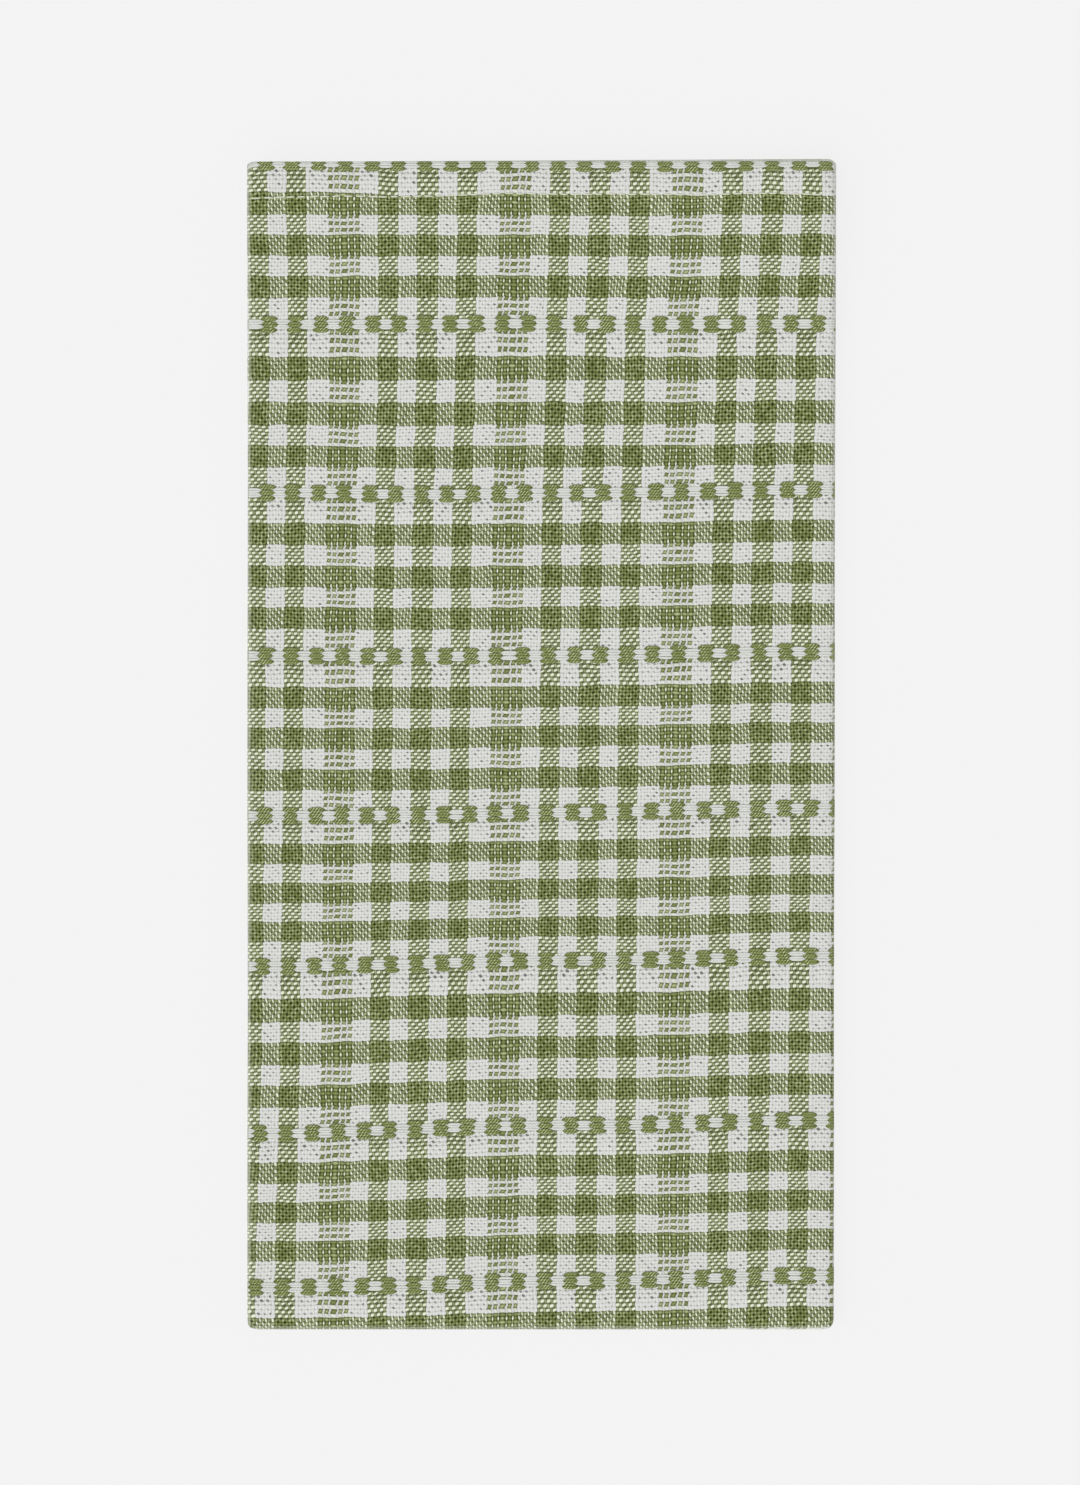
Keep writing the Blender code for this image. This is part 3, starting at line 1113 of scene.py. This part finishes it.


# Ramps from painted shade between the threads to painted highlight on their tops
GREEN_TONES = tones(
    (0.00, 42, 50, 8), (0.35, 67, 77, 18), (0.65, 98, 109, 54), (0.85, 130, 140, 90),
    (1.00, 176, 184, 142))
WHITE_TONES = tones(
    (0.00, 160, 161, 157), (0.20, 186, 186, 183), (0.45, 202, 202, 199), (1.00, 221, 222, 218))
CREAM_TONES = tones(
    (0.00, 100, 107, 70), (0.40, 152, 159, 124), (0.70, 212, 217, 192), (1.00, 234, 238, 220))
# Painted shade in the holes between threads: dark green among green, grey among white
HOLE_SHADE_TONES = tones((0.00, 44, 53, 8), (0.50, 84, 92, 56), (1.00, 112, 114, 110))
# Painted sheen, laid over the weave near the hem's edge and the folds
RIM_SHEEN_TONE = colour(218, 220, 207)
RIM_SHEEN_SHARE = 0.75           # how strongly it shows
# Half-widths of threads, in threads, by what they lie over
GREEN_HALF_WIDTH = 0.60
GREEN_END_OVER_WHITE = 0.55
END_OVER_GREEN = 0.41      # a white end among green picks
PICK_OVER_GREEN = 0.46     # a white pick among green ends
WHITE_HALF_WIDTH = 0.56    # white among white, where it spreads
WHITE_END_WIDTH = 0.71
MIXED_END_WIDTH = 0.41     # a white end of the mixed stripe
DOUBLED_WIDTH = 0.44
LOOSE_WIDTH = 0.84         # how wide the loose picks after a band lie, against others
LOOSE_HOLES = 0.40         # and how much wider the holes are there
CRIMP = 0.75               # how far threads rise and dip, against their half-width
CRIMP_SHAPE = 0.6          # the less, the flatter they lie on top
BAND_CRIMP = 0.4           # how far the ends rise in the bands
BAND_RAISE = 3.0           # which lie on top there, under the floats
BESIDE_THREAD = 2.0        # how steeply a thread's height falls beside it
END_SINK = 0.20            # how much lower the ends lie than the picks
WHITE_END_SINK = 0.42      # white ends under white picks
MIXED_RISE = 0.45          # how much higher green lies than white in the mixed stripe
DOUBLED_RISE = 0.45        # how much higher two ends lie that work as one
SOFT_EDGE = 0.06           # how softly the threads' edges show where they cross
CREAM_IN_MIXED = 0.7       # how far white picks of the mixed stripe are off cream
SLANT = 0.09               # how far threads slant where they lie on top, in threads
WHITE_END_SLANT = 0.17     # white ends among green picks
MIXED_SLANT = -0.11        # in the mixed stripe, where green spreads the other way
MIXED_RISE_SLANT = 0.06
MIXED_LEAN = -0.20         # and how far its ends lean there, where white picks cross
SHADE_TO_HIGHLIGHT_HEIGHTS = (0.42, 1.86)  # the heights of the darkest painted shade and of the lightest painted highlight
OWN_TONE = 0.20            # how much the tone differs from one crossing to the next
FINE_TONE = 0.26           # and within them
FINE_SCALE = 2.6           # by the thread
FINE_DETAIL = 2.0
BESIDE_WHITE = 0.05        # how much lighter green looks where it crosses white
GREY_BESIDE_WHITE = 0.18   # and how much greyer
GREY_TONE = colour(122, 126, 118)
IN_MIXED = 0.05            # how much darker white rows look in the mixed stripe
IN_MIXED_DOT = 0.10        # and white ends where they cross green picks there
IN_MIXED_GAP = 0.22        # and between its green dashes
ENDS_A_REPEAT = 52.0
PICKS_A_REPEAT = 46.0
UNEVEN = 0.36              # how far threads wander, in threads
WANDER_SCALE = 0.16        # how quickly they wander, by the thread
OTHER_SPOT = 7.3           # where the noise for the picks is taken, away from the ends'

# The holes between threads, where painted shade lies, among green ones and among white ones:
# their half-width in threads, how they are drawn together across and along, how much they
# differ in size, and how large every other one is, against the rest
Hole = namedtuple("Hole", "half_width across along vary least")
GREEN_HOLE = Hole(half_width=0.25, across=1.0, along=1.0, vary=0.5, least=0.6)
WHITE_HOLE = Hole(half_width=0.20, across=0.62, along=1.35, vary=0.8, least=0.35)
HOLE_SIZE = 0.95
OTHER_HOLE = 0.7           # how much larger the rest are
HOLE_EDGES = (1.35, 0.45)  # where a hole begins and where it is deepest, in half-widths
LEAST_DEPTH = 0.42         # of the holes among white threads, for their painted shade and their relief
MORE_DEPTH = 0.7           # and how much deeper and darker in painted shade a few of them are
DEPTH_SPREAD = 3.0         # the more, the fewer
HOLE_SPOT = 3.0            # where the chance for the holes is taken
CLOTH_RELIEF = (0.5, 0.00025)  # strength and depth


def woven_material():
    """Plain weave of green and white threads, worked out thread by thread."""
    graph = Graph("checked_cotton")
    stripes, bands, spot = wander_threads(graph, *graph.places("threads"))
    half_stripe = repeat_width(END_GROUPS[:MIXED_ENDS]) / repeat_width(END_GROUPS) / 2.0
    half_band = repeat_width(PICK_GROUPS[:1]) / repeat_width(PICK_GROUPS) / 2.0
    ends = thread_number(graph, stripes + half_stripe, END_GROUPS)
    picks = thread_number(graph, bands + half_band, PICK_GROUPS)
    ends, picks = bulge_threads(graph, ends, picks)
    end = graph.floor(ends)
    pick = graph.floor(picks)
    end_white, doubled, mixed = thread_kind(graph, end, END_GROUPS, MIXED_ENDS)
    pick_white, loose, in_band = thread_kind(graph, pick, PICK_GROUPS, BAND_PICKS)
    doubled = doubled * end_white
    over = graph.is_odd(end + pick + 1.0)
    sign = graph.mix(in_band, over * 2.0 - 1.0, BAND_CRIMP)
    end_half, pick_half = half_widths(graph, end_white, doubled, mixed, pick_white)
    pick_half = pick_half * graph.mix(loose, 1.0, LOOSE_WIDTH)
    from_end = ends - end - 0.5
    from_pick = picks - pick - 0.5
    end_height = thread_height(graph, from_end, from_pick, sign, end_half)
    pick_height = thread_height(graph, from_pick, from_end, sign * -1.0, pick_half)
    raised = end_rise(graph, end_white, doubled, mixed, pick_white, in_band)
    end_on_top = graph.ramp(end_height - pick_height + raised, -SOFT_EDGE, SOFT_EDGE)
    top = graph.mix(end_on_top, pick_height, end_height)
    white = graph.mix(end_on_top, pick_white, end_white)
    # painted shade between the threads and painted highlight on their tops
    tone = thread_shade_and_tone(graph, top, graph.vector(end, pick, end_on_top), spot)
    mixed_row = mixed * pick_white
    mixed_dot = mixed * white * (1.0 - pick_white)
    mixed_gap = mixed_row * end_white * (1.0 - over)
    tone = tone + (end_white + pick_white) * BESIDE_WHITE - mixed_row * IN_MIXED
    tone = tone - mixed_gap * IN_MIXED_GAP - mixed_dot * IN_MIXED_DOT
    below = graph.mix(
        end_on_top, graph.larger(end_white, mixed * CREAM_IN_MIXED),
        graph.larger(pick_white, in_band))
    grey = (end_white + pick_white) * GREY_BESIDE_WHITE * (1.0 - mixed)
    threads = thread_colour(graph, tone, white, below, grey)
    hole, whites = thread_holes(graph, ends, picks, end_white, pick_white, loose)
    closed = graph.larger(graph.larger(doubled, in_band), mixed_row)
    hole = hole * (1.0 - closed)
    # painted shade in the holes between the threads
    base = graph.mix_colour(hole, threads, graph.stops(whites, HOLE_SHADE_TONES))
    # painted sheen near the hem's edge and the folds, where the cloth turns away
    graph.cloth(graph.mix_colour(graph.attribute("rim") * RIM_SHEEN_SHARE, base, RIM_SHEEN_TONE))
    graph.relief(top - hole, *CLOTH_RELIEF)
    return graph.material


def end_rise(graph, end_white, doubled, mixed, pick_white, in_band):
    """How much higher an end lies than a pick where they cross."""
    rise = in_band * BAND_RAISE + doubled * DOUBLED_RISE
    rise = rise + mixed * (pick_white - end_white) * MIXED_RISE
    return rise - graph.mix(end_white * pick_white, END_SINK, WHITE_END_SINK)


def thread_colour(graph, tone, white, below, grey):
    """Green that is greyer beside white, or white that is cream where green lies below."""
    cream = graph.stops(tone, CREAM_TONES)
    white_colour = graph.mix_colour(below, cream, graph.stops(tone, WHITE_TONES))
    green_colour = graph.mix_colour(grey, graph.stops(tone, GREEN_TONES), GREY_TONE)
    return graph.mix_colour(white, green_colour, white_colour)


def wander_threads(graph, stripes, bands):
    """Let the threads wander a little from their even spacing."""
    across = stripes * ENDS_A_REPEAT
    along = bands * PICKS_A_REPEAT
    spot = graph.vector(across, along)
    first = graph.noise(spot, WANDER_SCALE)
    second = graph.noise(graph.vector(along, across, OTHER_SPOT), WANDER_SCALE)
    stripes = stripes + first * (UNEVEN * 2.0 / ENDS_A_REPEAT)
    bands = bands + second * (UNEVEN * 2.0 / PICKS_A_REPEAT)
    return stripes, bands, spot


def bulge_threads(graph, ends, picks):
    """Let threads slant where they lie on top, and reach over their neighbours there."""
    end_white, _, mixed = thread_kind(graph, graph.floor(ends), END_GROUPS, MIXED_ENDS)
    pick_white = thread_kind(graph, graph.floor(picks), PICK_GROUPS, BAND_PICKS)[0]
    white_end = end_white * (1.0 - pick_white)
    slant = graph.sum("SINE", (ends - picks) * math.pi)
    slant = slant * graph.mix(mixed, graph.mix(white_end, SLANT, WHITE_END_SLANT), MIXED_SLANT)
    lean = graph.sum("COSINE", picks * math.pi) * MIXED_LEAN
    rise = graph.sum("SINE", (ends + picks) * math.pi)
    rise = rise * graph.mix(mixed, graph.mix(white_end, SLANT, 0.0), MIXED_RISE_SLANT)
    return ends + graph.mix(mixed * pick_white, slant, lean), picks + rise


def half_widths(graph, end_white, doubled, mixed, pick_white):
    """How wide an end and a pick lie where they cross."""
    white_end = graph.mix(pick_white, END_OVER_GREEN, WHITE_END_WIDTH)
    white_end = graph.mix(mixed, white_end, MIXED_END_WIDTH)
    white_end = graph.mix(doubled, white_end, DOUBLED_WIDTH)
    green_end = graph.mix(pick_white, GREEN_HALF_WIDTH, GREEN_END_OVER_WHITE)
    spread = graph.larger(end_white, mixed)
    white_pick = graph.mix(spread, PICK_OVER_GREEN, WHITE_HALF_WIDTH)
    end_half = graph.mix(end_white, green_end, white_end)
    return end_half, graph.mix(pick_white, GREEN_HALF_WIDTH, white_pick)


def thread_height(graph, across, along, sign, half_width):
    """Height of a thread at a place: its round back, on a centre line that rises and dips."""
    ratio = graph.sum("DIVIDE", across, half_width)
    inside = 1.0 - ratio * ratio
    back = graph.sum("SQRT", graph.larger(inside, 0.0))
    wave = graph.larger(graph.sum("COSINE", along * math.pi), 0.0)
    centre = graph.sum("POWER", wave, CRIMP_SHAPE) * sign * CRIMP
    return back + centre + graph.sum("MINIMUM", inside, 0.0) * BESIDE_THREAD


def thread_shade_and_tone(graph, top, crossing, spot):
    """How light a thread looks at a place, from painted shade between the threads to painted
    highlight on top.
    """
    own = (graph.chance(crossing) - 0.5) * OWN_TONE
    fine = graph.noise(spot, FINE_SCALE, FINE_DETAIL) * FINE_TONE
    return graph.ramp(top, *SHADE_TO_HIGHLIGHT_HEIGHTS) + (own + fine)


def thread_holes(graph, ends, picks, end_white, pick_white, loose):
    """Painted shade and relief of the holes where four threads meet, some wider, and how white
    they lie.
    """
    whites = (end_white + pick_white) * 0.5
    half_width, narrow, wide, vary, least = (
        graph.mix(whites, green, white) for green, white in zip(GREEN_HOLE, WHITE_HOLE))
    corner_end = graph.floor(ends + 0.5)
    corner_pick = graph.floor(picks + 0.5)
    across = (ends - corner_end) * narrow
    along = (picks - corner_pick) * wide
    own = graph.chance(graph.vector(corner_end, corner_pick, HOLE_SPOT))
    size = half_width * ((own - 0.5) * vary + HOLE_SIZE)
    size = size * (graph.is_odd(corner_end + corner_pick) * OTHER_HOLE + least)
    size = size * (loose * LOOSE_HOLES + 1.0)
    away = graph.sum("SQRT", across * across + along * along)
    inside = graph.ramp(graph.sum("DIVIDE", away, size), *HOLE_EDGES, "SMOOTHSTEP")
    depth = graph.sum("POWER", own, DEPTH_SPREAD) * MORE_DEPTH + LEAST_DEPTH
    return inside * graph.mix(whites, 1.0, depth), whites


# Ramps of the float yarns from painted shade to painted highlight
GREEN_YARN = tones(
    (0.00, 74, 84, 26), (0.35, 109, 119, 63), (0.65, 140, 150, 96), (1.00, 214, 220, 178))
WHITE_YARN = tones(
    (0.00, 132, 137, 114), (0.25, 194, 197, 187), (0.50, 216, 218, 214), (1.00, 229, 231, 227))
# Sewing thread across its width, upper side to lower: cream, with painted shade at the edges,
# tan on the lower side
SEWING_THREAD = tones(
    (0.00, 196, 201, 184), (0.40, 218, 221, 208), (0.75, 208, 206, 180), (1.00, 164, 160, 110))
GREEN_TWIST = 0.30         # how strongly the painted highlight and shade of the yarn's turns show
WHITE_TWIST = 0.12
DIP_SHADE = 0.45           # how much darker strands look where they dip into the cloth, as painted shade
DIP_SHAPE = 4.0            # the more, the nearer to their tips
TWIST_PER_MILLIMETRE = 1.05
TWIST_SLANT = 1.25
YARN_TONE = 0.25           # at a strand's edges, in painted shade
YARN_BACK_HIGHLIGHT = 0.30           # how much lighter its back is, as painted highlight
YARN_GRAIN = (2.2, 2.0)    # of the noise along a strand and around it
YARN_FINE = 0.6            # how strongly it shows
SEWING_GRAIN = (1.4, 1.5)
SEWING_FINE = 0.8
YARN_RELIEF = (0.3, 0.00008)
TURN_VARY = 1.2            # how much the turns of the yarn differ in strength
TURN_LEAST = 0.3           # and the strength of the weakest
TURN_SPOT = 4.0            # where the chance for them is taken


def start_yarn(name, grain, fine):
    """A new material with the place along a strand and around it, and some soft noise."""
    graph = Graph(name)
    along, around = graph.places("twist")
    spot = graph.vector(along * grain[0], around * grain[1])
    return graph, along, around, graph.noise(spot, 1.0, FINE_DETAIL) * fine


def yarn_material(name, stops, twist):
    """Two-ply yarn: slanting turns along a strand, in painted highlight and painted shade."""
    graph, along, around, fine = start_yarn(name, YARN_GRAIN, YARN_FINE)
    turn = along * TWIST_PER_MILLIMETRE + around * TWIST_SLANT
    own = graph.chance(graph.vector(graph.floor(turn + 0.5), TURN_SPOT))
    wave = graph.sum("COSINE", turn * (2.0 * math.pi)) * (own * TURN_VARY + TURN_LEAST)
    back = graph.sum("SINE", around * math.pi)
    dip = graph.sum("POWER", graph.attribute("dip"), DIP_SHAPE)
    # painted highlight on the back and the turns, painted shade at the edges and where the
    # strand dips in
    tone = back * YARN_BACK_HIGHLIGHT + wave * twist + YARN_TONE + fine - dip * DIP_SHADE
    graph.cloth(graph.stops(tone, stops))
    graph.relief(wave, *YARN_RELIEF)
    return graph.material


def sewing_material():
    """Cream sewing thread, in painted shade at its edges that turns tan on its lower side, where
    it goes into the cloth.
    """
    graph, _, around, fine = start_yarn("sewing_thread", SEWING_GRAIN, SEWING_FINE)
    graph.cloth(graph.stops(around + fine, SEWING_THREAD))
    return graph.material


# ---------------------------------------------------------------- camera, light and floor
FRAME_HEIGHT = 0.4435      # what the picture takes in at the towel's top
TOWEL_TOP = 0.0100
CAMERA_X = -0.0006
CAMERA_Y = 0.0009
LENS = 150.0
SENSOR = 36.0
FAR_END = 20.0
FLOOR_HALF = 1.5
FLOOR_TONE = 0.08
FLOOR_GLOW = 0.815         # light that the floor gives of itself, like a lit table
WHITE_LIGHT = (1.0, 1.0, 1.0, 1.0)
LIGHT_STRENGTH = 1.6
LIGHT_SPREAD = 70.0        # degrees
LIGHT_TOWARDS = (0.55, 0.45, -1.0)
EVEN_LIGHT = 0.62


def make_camera():
    """Straight above the towel, far off, so that it shows without perspective."""
    data = bpy.data.cameras.new("camera")
    data.lens = LENS
    data.sensor_fit = "VERTICAL"
    data.sensor_height = SENSOR
    data.clip_end = FAR_END
    camera = add_object("camera", data)
    camera.location = (CAMERA_X, CAMERA_Y, TOWEL_TOP + FRAME_HEIGHT * LENS / SENSOR)
    bpy.context.scene.camera = camera


def make_floor():
    """A plain pale floor."""
    sides = ((-1.0, -1.0), (1.0, -1.0), (1.0, 1.0), (-1.0, 1.0))
    mesh = bpy.data.meshes.new("floor")
    mesh.from_pydata([(x * FLOOR_HALF, y * FLOOR_HALF, 0.0) for x, y in sides], [], [range(4)])
    graph = Graph("pale_floor")
    graph.finish(Base_Color=(FLOOR_TONE, FLOOR_TONE, FLOOR_TONE, 1.0),
                 Emission_Color=WHITE_LIGHT, Emission_Strength=FLOOR_GLOW,
                 Roughness=1.0, Specular_IOR_Level=0.0)
    mesh.materials.append(graph.material)
    floor = add_object("floor", mesh)


def make_light():
    """Soft light from the lower left, and an even light all round."""
    data = bpy.data.lights.new("soft_light", "SUN")
    data.energy = LIGHT_STRENGTH
    data.angle = math.radians(LIGHT_SPREAD)
    light = add_object("soft_light", data)
    light.rotation_euler = Vector(LIGHT_TOWARDS).to_track_quat("-Z", "Y").to_euler()
    world = bpy.data.worlds.new("surroundings")
    world.use_nodes = True
    background = world.node_tree.nodes["Background"]
    background.inputs["Color"].default_value = WHITE_LIGHT
    background.inputs["Strength"].default_value = EVEN_LIGHT
    bpy.context.scene.world = world
    settings = bpy.context.scene.view_settings
    settings.view_transform = "Standard"
    settings.look = "None"
    settings.exposure = 0.0
    settings.gamma = 1.0


def main():
    """The towel, the floor that it lies on, the light and the camera."""
    sheet = Sheet()
    towel = make_sheet(sheet)
    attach(towel, "root")
    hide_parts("towel")
    top = top_surface(sheet)
    underside = underside_surface(sheet)
    threads = [*make_floats(top, underside), make_stitches(top, underside)]
    for piece in threads:
        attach(piece, "root")
    make_floor()
    make_light()
    make_camera()


main()
